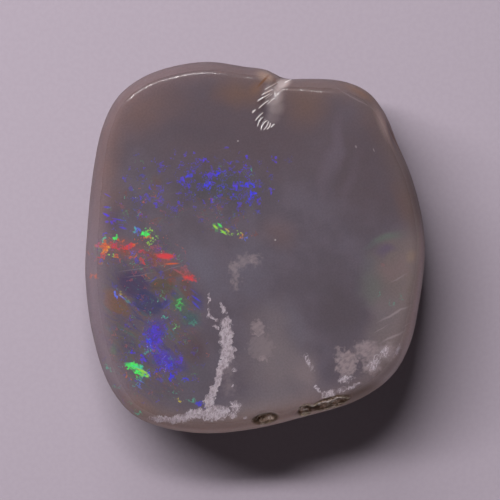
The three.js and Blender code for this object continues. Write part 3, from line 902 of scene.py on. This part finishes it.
def paintFace(tree, place, spotGroup):
    # the rubbed face, seen from above: potch, depths of colour, painted light and shade near the edge,
    # flecks, flashes
    broad = warped(tree, place, *warps["broad"])
    ragged = warped(tree, place, *warps["ragged"])
    fleckGroup = makeFleckGroup()

    mottle = noiseOf(tree, place, 0.5, 4.0).outputs[0]
    tints = bodyTints
    dark, pale = [seen(*tints["palette"][name]) for name in ("ground", "paleGround")]
    colour = mixColour(tree, ramp(tree, mottle, 0.35, 0.65), dark, pale)
    colour = paintOver(tree, "bodyTints", spotGroup, tints["rows"], tints["palette"], broad, colour)

    # silky streaks in the lower left
    lowerZone = spotMask(tree, spotGroup, place, *silk["zone"])
    along = stretched(tree, broad, silk["turn"], silk["scale"])
    streaks = noiseOf(tree, along, 1.0, 5.0, 0.62).outputs[0]
    colour = mixColour(tree, lowerZone, colour, colourRamp(tree, streaks, "LINEAR", silk["stops"]))
    tints = deepTints
    colour = paintOver(tree, "deepTints", spotGroup, tints["rows"], tints["palette"], broad, colour)

    # painted glow: paler tints near the outline stand in for light held in the thin edge
    axes = addNode(tree, "ShaderNodeSeparateXYZ")
    feed(tree, axes.inputs[0], place)
    acrossX, alongY = axes.outputs[0], axes.outputs[1]
    rightTint = edgeTint(tree, alongY, "rimRightFade", finishTint("rimRight"), "rimMilkyGlow")
    leftTint = edgeTint(tree, alongY, "rimLeftFade", finishTint("rimLeft"), "rimLeftLow")
    rimGlowTint = mixColour(tree, ramp(tree, acrossX, *stoneFinish["rimSides"]), leftTint, rightTint)
    rimGlowTint = edgeTint(tree, alongY, "rimLowFade", rimGlowTint, "rimLow")
    rim = mathOf(tree, "MULTIPLY", attributeOf(tree, "rim"), stoneFinish["rimShare"])
    colour = mixColour(tree, rim, colour, rimGlowTint)
    # painted light: the steep right bevel, turned away from the lamp, is painted paler to lift its shade
    paintedLightBevelTint = edgeTint(tree, alongY, "bevelFade", finishTint("paintedLightBevelRight"), "paintedLightBevelMilky")
    rightEdge = mathOf(tree, "MULTIPLY", ramp(tree, acrossX, *stoneFinish["bevelStartX"]),
                       ramp(tree, alongY, *stoneFinish["bevelStartY"]))
    bevel = mathOf(tree, "MULTIPLY", attributeOf(tree, "bevel"), rightEdge)
    colour = mixColour(tree, bevel, colour, paintedLightBevelTint)
    tints = edgeMarksAndPaintedLight
    colour = paintOver(tree, "edgeMarksAndPaintedLight", spotGroup, tints["rows"], tints["palette"], place, colour)

    clusters = ramp(tree, noiseOf(tree, place, 0.9, 3.0).outputs[0], 0.35, 0.65, 0.2, 1.6)
    zones = {}
    for name in ("violet", "mixed"):
        zone = zoneMask(tree, name + "Zone", spotGroup, fleckZones[name]["rows"], place)
        zones[name] = mathOf(tree, "MULTIPLY", zone, clusters)
    for name, turn, cells, strength in fleckLayers:
        spread = stretched(tree, ragged, turn, cells)
        flecks = useGroup(tree, fleckGroup, Place=spread, Share=zones[name])
        tint = fleckColours(tree, flecks.outputs["Pick"], fleckZones[name]["colours"])
        level = mathOf(tree, "MULTIPLY", flecks.outputs["Mask"], strength)
        colour = mixColour(tree, level, colour, tint)

    lit = colour
    palette = flashes["palette"]
    for name in ("upperBand", "redBand", "greenPair", "lowerField", "greenFlash", "rightSide"):
        lit = paintOver(tree, name, spotGroup, flashes[name], palette, ragged, lit)
    glow = noiseOf(tree, stretched(tree, place, -32, (5.0, 9.0)), 1.0, 3.0, 0.6).outputs[0]
    colour = mixColour(tree, ramp(tree, glow, 0.3, 0.6, 0.2, 1.0), colour, lit)
    colour = paintOver(tree, "needles", spotGroup, flashes["needles"], palette, place, colour)

    # fine grain of the potch
    grain = noiseOf(tree, place, 7.0, 4.0, 0.6).outputs[0]
    return brightened(tree, colour, ramp(tree, grain, 0.3, 0.7, 0.95, 1.05))


def featherMask(tree, place, spotGroup):
    # milky cores with fine bright strands that run on past their edges
    frayed = warped(tree, place, *warps["frayed"])
    zone = zoneMask(tree, "featherZone", spotGroup, sum(feathers.values(), []), frayed)
    fine = noiseOf(tree, stretched(tree, place, 75, (3.0, 9.0)), 1.0, 4.0, 0.65).outputs[0]
    level = mathOf(tree, "MULTIPLY_ADD", fine, 0.7, mathOf(tree, "SUBTRACT", zone, 0.35))
    core = mathOf(tree, "MULTIPLY", ramp(tree, level, 0.15, 0.75), ramp(tree, zone, 0.02, 0.25))
    threads = noiseOf(tree, stretched(tree, frayed, 68, (1.5, 2.8)), 1.0, 3.0, 0.6).outputs[0]
    offset = mathOf(tree, "ABSOLUTE", mathOf(tree, "SUBTRACT", threads, 0.5))
    strands = ramp(tree, offset, 0.07, 0.0)
    loose = mathOf(tree, "MULTIPLY", strands, ramp(tree, zone, 0.05, 0.4))
    return mathOf(tree, "MAXIMUM", mathOf(tree, "MULTIPLY", core, 0.92), loose), strands


def hairlineMask(tree, place, spotGroup):
    bent = warped(tree, place, *warps["cracked"])
    return zoneMask(tree, "hairlineZone", spotGroup, sum(hairlines.values(), []), bent)


def cloudMask(tree, place, spotGroup):
    wavy = warped(tree, place, *warps["wavy"])
    zone = zoneMask(tree, "cloudZone", spotGroup, sum(clouds.values(), []), wavy)
    puffs = noiseOf(tree, stretched(tree, place, 40, (2.4, 4.4)), 1.0, 5.0, 0.6).outputs[0]
    return mathOf(tree, "MULTIPLY", zone, ramp(tree, puffs, 0.3, 0.6, 0.5, 1.0))


def paintWall(tree, place):
    # flanks and underside: wavy bands of potch, rust in the hollows
    bent = warped(tree, place, *warps["layered"])
    layers = noiseOf(tree, stretched(tree, bent, 0, (0.15, 0.15)), 1.0, 3.0, flat=False).outputs[0]
    colour = mixColour(tree, ramp(tree, layers, 0.35, 0.65), finishTint("wallDark"),
                       finishTint("wallPale"))
    rust = noiseOf(tree, place, 0.7, 5.0, 0.6, flat=False).outputs[0]
    return mixColour(tree, ramp(tree, rust, 0.56, 0.72, 0.0, 0.7), colour, finishTint("wallRust"))


def makeOpalMaterial():
    material = bpy.data.materials.new("rubbedOpal")
    material.use_nodes = True
    tree = material.node_tree
    shader = tree.nodes["Principled BSDF"]
    shader.subsurface_method = "RANDOM_WALK"
    shader.inputs["IOR"].default_value = stoneFinish["ior"]
    shader.inputs["Subsurface Weight"].default_value = stoneFinish["subsurface"]
    shader.inputs["Subsurface Radius"].default_value = stoneFinish["subsurfaceReach"]
    shader.inputs["Subsurface Scale"].default_value = stoneFinish["subsurfaceScale"]

    coordinates = addNode(tree, "ShaderNodeTexCoord")
    solidPlace = scaled(tree, coordinates.outputs["Object"], 1 / mm)
    place = asPlace(tree, vectorOf(tree, "MULTIPLY", solidPlace, (1, 1, 0)))
    spotGroup = makeSpotGroup()

    face = paintFace(tree, place, spotGroup)
    cloud = cloudMask(tree, place, spotGroup)
    face = mixColour(tree, cloud, face, finishTint("cloudColour"))
    hairline = hairlineMask(tree, place, spotGroup)
    face = mixColour(tree, hairline, face, finishTint("hairlineColour"))
    feather, strands = featherMask(tree, place, spotGroup)
    bright = noiseOf(tree, stretched(tree, place, 70, (3.0, 6.0)), 1.0, 4.0).outputs[0]
    white = mixColour(tree, ramp(tree, bright, 0.35, 0.65), finishTint("featherDim"),
                      finishTint("featherColour"))
    white = mixColour(tree, strands, white, finishTint("strandColour"))
    face = mixColour(tree, feather, face, white)

    chip = attributeOf(tree, "chip")
    face = mixColour(tree, chip, face, finishTint("chipPale"))
    face = mixColour(tree, attributeOf(tree, "glint"), face, finishTint("chipGlint"))

    wall = paintWall(tree, solidPlace)
    topShare = attributeOf(tree, "facingUp")
    colour = mixColour(tree, topShare, wall, face)

    pit = attributeOf(tree, "pit")
    crumbs = noiseOf(tree, solidPlace, 3.2, 4.0, 0.6, flat=False).outputs[0]
    level = mathOf(tree, "MULTIPLY_ADD", attributeOf(tree, "pitEdge"), -0.2, crumbs)
    dirt = mixColour(tree, ramp(tree, level, 0.36, 0.52), finishTint("pitDark"),
                     finishTint("pitOchre"))
    dirt = mixColour(tree, ramp(tree, level, 0.54, 0.66), dirt, finishTint("pitPale"))
    colour = mixColour(tree, pit, colour, dirt)
    tree.links.new(colour, shader.inputs["Base Color"])

    rub = noiseOf(tree, solidPlace, 1.5, 4.0, flat=False).outputs[0]
    smooth = stoneFinish["roughness"]
    gloss = ramp(tree, rub, 0.3, 0.7, smooth, smooth + stoneFinish["roughSpread"])
    gloss = ramp(tree, feather, 0.0, 1.0, gloss, stoneFinish["featherRoughness"])
    gloss = ramp(tree, attributeOf(tree, "steep"), 0.0, 1.0, gloss, stoneFinish["steepRoughness"])
    gloss = ramp(tree, pit, 0.0, 0.6, gloss, stoneFinish["pitRoughness"])
    tree.links.new(gloss, shader.inputs["Roughness"])

    scratches = noiseOf(tree, stretched(tree, place, 24, (0.6, 7.0)), 1.0, 3.0).outputs[0]
    bump = addNode(tree, "ShaderNodeBump")
    bump.inputs["Strength"].default_value = stoneFinish["scratchStrength"]
    bump.inputs["Distance"].default_value = stoneFinish["scratchDepth"]
    tree.links.new(scratches, bump.inputs["Height"])
    tree.links.new(bump.outputs[0], shader.inputs["Normal"])
    return material


# The stone: a fine, smoothed copy of the solid with the chip and pits worked over

stoneForm = {
    "voxel": 0.2,  # mm
    "rubRounds": 12,
    "rimReach": (0.2, 2.4),  # mm
    "facingRange": (-0.1, 0.2),  # upward parts of the normal between which wall turns to face
    "steepRange": (0.45, 0.995),
    "bevelRange": (0.35, 0.93),
    "detailLevel": 6.0,  # mm, chip and pits are worked only above this
    "crumbDepth": 0.09,  # mm
    "crumbsPerMm": 4.0,
    "fineCuts": 3,
    "fineRounds": 8,
    # plan boxes in mm that get a finer mesh: low x, high x, low y, high y, lowest z
    "fineAreas": [(-0.7, 3.3, 7.9, 12.9, 6.8), (-0.8, 7.4, -13.3, -10.5, 6.0)],
}

# Ripples of the chip. Rows: start x, y, end x, y, bow, height in mm
chipRibs = {
    "halfWidth": 0.06,
    "crest": 0.55,  # share of the width that glints
    "glintHeight": 0.06,  # mm, ripples this high glint fully
    "rows": [
        (0.73, 11.52, 1.47, 11.95, 0.02, 0.05),
        (1.25, 11.86, 1.72, 12.1, 0.0, 0.04),
        (0.5, 11.12, 1.27, 11.52, 0.02, 0.06),
        (0.2, 10.68, 1.05, 11.2, 0.02, 0.06),
        (0.75, 10.85, 1.25, 11.2, 0.0, 0.03),
        (0.28, 10.16, 0.98, 10.72, 0.03, 0.06),
        (0.88, 10.46, 1.4, 10.87, 0.0, 0.03),
        (-0.19, 9.81, 0.03, 10.05, 0.0, 0.07),
        (0.03, 9.26, 0.56, 9.82, 0.03, 0.07),
        (0.18, 8.84, 0.57, 9.5, 0.07, 0.06),
        (0.43, 8.58, 0.86, 9.24, 0.09, 0.06),
        (0.64, 8.58, 0.98, 9.16, -0.05, 0.05),
        (0.87, 8.62, 1.12, 9.05, -0.06, 0.06),
        (1.16, 8.76, 1.4, 8.99, 0.0, 0.06),
        (2.18, 12.02, 2.66, 12.27, 0.0, 0.06),
    ],
}

# Whitened floor of the chip. Rows: x, y, half sizes, turn, strength
chipPatches = [
    (2.0, 11.98, 0.95, 0.5, 28, 0.85),
    (1.4, 11.6, 1.1, 0.7, 32, 0.62),
    (1.35, 10.85, 1.0, 0.85, 40, 0.42),
    (1.5, 10.2, 0.85, 0.85, 45, 0.28),
    (1.3, 9.5, 0.75, 0.7, 30, 0.14),
]

# Crumbling pits on the lower edge. Rows: x, y, half sizes, turn, depth in mm
pitRows = [
    (0.74, -12.5, 1.05, 0.44, 10, 0.16),
    (3.68, -11.87, 0.62, 0.48, 35, 0.22),
    (5.5, -11.34, 1.6, 0.48, 17, 0.14),
]


def selectOnly(piece):
    bpy.ops.object.select_all(action="DESELECT")
    piece.select_set(True)
    bpy.context.view_layer.objects.active = piece


def applyModifier(piece, kind, **settings):
    modifier = piece.modifiers.new(kind.lower(), kind)
    for name, value in settings.items():
        setattr(modifier, name, value)
    bpy.ops.object.modifier_apply(modifier=modifier.name)


def copySolid(nodeName, pieceName):
    piece = bpy.data.objects.new(pieceName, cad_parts[nodeName].data.copy())
    bpy.context.scene.collection.objects.link(piece)
    piece.data.name = pieceName
    piece.data.materials.clear()
    piece.data.transform(Matrix.Scale(1 / mm, 4))  # worked on in millimetres
    selectOnly(piece)
    bpy.ops.object.mode_set(mode="EDIT")
    bpy.ops.mesh.select_all(action="SELECT")
    bpy.ops.mesh.remove_doubles(threshold=0.0005)
    bpy.ops.object.mode_set(mode="OBJECT")
    return piece


def vertexPlaces(mesh):
    flat = np.zeros(len(mesh.vertices) * 3)
    mesh.vertices.foreach_get("co", flat)
    return flat.reshape(-1, 3)


def vertexNormals(mesh):
    flat = np.zeros(len(mesh.vertices) * 3, np.float32)
    mesh.vertex_normals.foreach_get("vector", flat)
    return flat.reshape(-1, 3).astype(float)


def refineAreas(piece):
    mesh = piece.data
    centres = np.zeros(len(mesh.polygons) * 3)
    mesh.polygons.foreach_get("center", centres)
    centres = centres.reshape(-1, 3)
    wanted = np.zeros(len(centres), bool)
    for lowX, highX, lowY, highY, lowZ in stoneForm["fineAreas"]:
        inX = (centres[:, 0] > lowX) & (centres[:, 0] < highX)
        inY = (centres[:, 1] > lowY) & (centres[:, 1] < highY)
        wanted |= inX & inY & (centres[:, 2] > lowZ)
    bpy.context.tool_settings.mesh_select_mode = (False, False, True)
    bpy.ops.object.mode_set(mode="EDIT")
    bpy.ops.mesh.select_all(action="DESELECT")
    bpy.ops.object.mode_set(mode="OBJECT")
    mesh.polygons.foreach_set("select", wanted)
    bpy.ops.object.mode_set(mode="EDIT")
    bpy.ops.mesh.subdivide(number_cuts=stoneForm["fineCuts"])
    bpy.ops.mesh.vertices_smooth(factor=0.5, repeat=stoneForm["fineRounds"])
    bpy.ops.mesh.select_all(action="DESELECT")
    bpy.ops.object.mode_set(mode="OBJECT")


def smoothStep(low, high, value):
    share = np.clip((value - low) / (high - low), 0, 1)
    return share * share * (3 - 2 * share)


def ovalReach(places, x, y, halfX, halfY, turn):
    # 0 at the middle of a turned oval in plan, 1 on its edge
    angle = math.radians(turn)
    dx = places[:, 0] - x
    dy = places[:, 1] - y
    along = (dx * math.cos(angle) + dy * math.sin(angle)) / halfX
    across = (dy * math.cos(angle) - dx * math.sin(angle)) / halfY
    return np.hypot(along, across)


def rimNearness(places):
    # 1 on the outline seen from above, 0 once rimReach inside it
    angles = np.arctan2(places[:, 1], places[:, 0])
    reach = np.hypot(places[:, 0], places[:, 1])
    bins = ((angles + math.pi) / (2 * math.pi) * 360).astype(int) % 360
    outline = np.zeros(360)
    np.maximum.at(outline, bins, reach)
    inside = outline[bins] - reach
    return 1 - smoothStep(*stoneForm["rimReach"], inside)


def ribHeight(places):
    # height of the ripples, and how near each vertex is to a crest
    total = np.zeros(len(places))
    glint = np.zeros(len(places))
    for startX, startY, endX, endY, bow, height in chipRibs["rows"]:
        length = math.hypot(endX - startX, endY - startY)
        ux = (endX - startX) / length
        uy = (endY - startY) / length
        along = ((places[:, 0] - startX) * ux + (places[:, 1] - startY) * uy) / length
        across = (places[:, 1] - startY) * ux - (places[:, 0] - startX) * uy
        offset = across - bow * 4 * along * (1 - along)
        ends = smoothStep(-0.12, 0.12, along) * (1 - smoothStep(0.88, 1.12, along))
        ridge = height * np.exp(-((offset / chipRibs["halfWidth"]) ** 2)) * ends
        crest = np.exp(-((offset / chipRibs["halfWidth"] / chipRibs["crest"]) ** 2)) * ends
        total = np.maximum(total, ridge)
        glint = np.maximum(glint, crest * min(1, height / chipRibs["glintHeight"]))
    return total, glint


def carveDetail(piece):
    mesh = piece.data
    places = vertexPlaces(mesh)
    normals = vertexNormals(mesh)
    upper = places[:, 2] > stoneForm["detailLevel"]

    pit = np.zeros(len(places))
    pitEdge = np.zeros(len(places))
    sink = np.zeros(len(places))
    for x, y, halfX, halfY, turn, depth in pitRows:
        reach = ovalReach(places, x, y, halfX, halfY, turn)
        pit = np.maximum(pit, 1 - smoothStep(0.8, 1.1, reach))
        ring = smoothStep(0.45, 0.8, reach) * (1 - smoothStep(0.95, 1.15, reach))
        pitEdge = np.maximum(pitEdge, ring)
        sink = np.maximum(sink, depth * (1 - smoothStep(0.35, 1.0, reach)))
    pit *= upper
    for i in np.nonzero(pit > 0.01)[0]:
        crumb = noise.fractal(Vector(places[i]) * stoneForm["crumbsPerMm"], 0.7, 2.1, 4)
        sink[i] += stoneForm["crumbDepth"] * crumb * pit[i]
    ribs, glint = ribHeight(places)
    lift = (ribs - sink) * upper
    places += normals * lift[:, None]
    mesh.vertices.foreach_set("co", places.ravel())
    mesh.update()

    chip = np.zeros(len(places))
    for x, y, halfX, halfY, turn, strength in chipPatches:
        reach = ovalReach(places, x, y, halfX, halfY, turn)
        chip = np.maximum(chip, strength * (1 - smoothStep(0.3, 1.0, reach)))
    chip *= upper
    return {"pit": pit, "pitEdge": pitEdge * upper, "chip": chip, "glint": glint * upper}


def storeMask(mesh, name, values):
    layer = mesh.attributes.new(name, "FLOAT", "POINT")
    layer.data.foreach_set("value", values.astype(np.float32))


def makeStone():
    stone = copySolid("opal", "opal_stone")
    applyModifier(stone, "REMESH", mode="VOXEL", voxel_size=stoneForm["voxel"])
    applyModifier(stone, "SMOOTH", factor=0.5, iterations=stoneForm["rubRounds"])
    print("rubbed mesh:", len(stone.data.polygons), "faces")
    upward = vertexNormals(stone.data)[:, 2]
    storeMask(stone.data, "facingUp", smoothStep(*stoneForm["facingRange"], upward))
    storeMask(stone.data, "rim", rimNearness(vertexPlaces(stone.data)))
    storeMask(stone.data, "steep", 1 - smoothStep(*stoneForm["steepRange"], upward))
    storeMask(stone.data, "bevel", 1 - smoothStep(*stoneForm["bevelRange"], upward))
    refineAreas(stone)
    masks = carveDetail(stone)
    for name, values in masks.items():
        storeMask(stone.data, name, values)
    stone.data.transform(Matrix.Scale(mm, 4))
    selectOnly(stone)
    bpy.ops.object.shade_smooth()
    stone.data.materials.append(makeOpalMaterial())
    triangles = sum(len(face.vertices) - 2 for face in stone.data.polygons)
    print("stone finished:", triangles, "triangles")
    return stone


def makeFloorMaterial():
    material = bpy.data.materials.new("paleFloor")
    material.use_nodes = True
    tree = material.node_tree
    shader = tree.nodes["Principled BSDF"]
    shader.inputs["Roughness"].default_value = studio["floorRoughness"]
    shader.inputs["Specular IOR Level"].default_value = studio["floorSheen"]
    place = scaled(tree, addNode(tree, "ShaderNodeTexCoord").outputs["Object"], 1 / mm)
    grain = noiseOf(tree, place, 3.0, 4.0).outputs[0]
    low = seen(*[c - 1 for c in studio["floorColour"]])
    high = seen(*[c + 1 for c in studio["floorColour"]])
    colour = mixColour(tree, ramp(tree, grain, 0.35, 0.65), low, high)
    tree.links.new(colour, shader.inputs["Base Color"])
    return material


def makeFloor():
    level = studio["floorLevel"] * mm
    bpy.ops.mesh.primitive_plane_add(size=studio["floorSize"], location=(0, 0, level))
    floor = bpy.context.object
    floor.name = "floor"
    floor.data.materials.append(makeFloorMaterial())


bpy.ops.object.select_all(action="DESELECT")
bpy.context.scene.view_settings.view_transform = "Standard"
addCamera()
addLamps()
addWorld()
makeFloor()
print("studio set")

opalStone = makeStone()
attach(opalStone, "root")
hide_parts("opal")
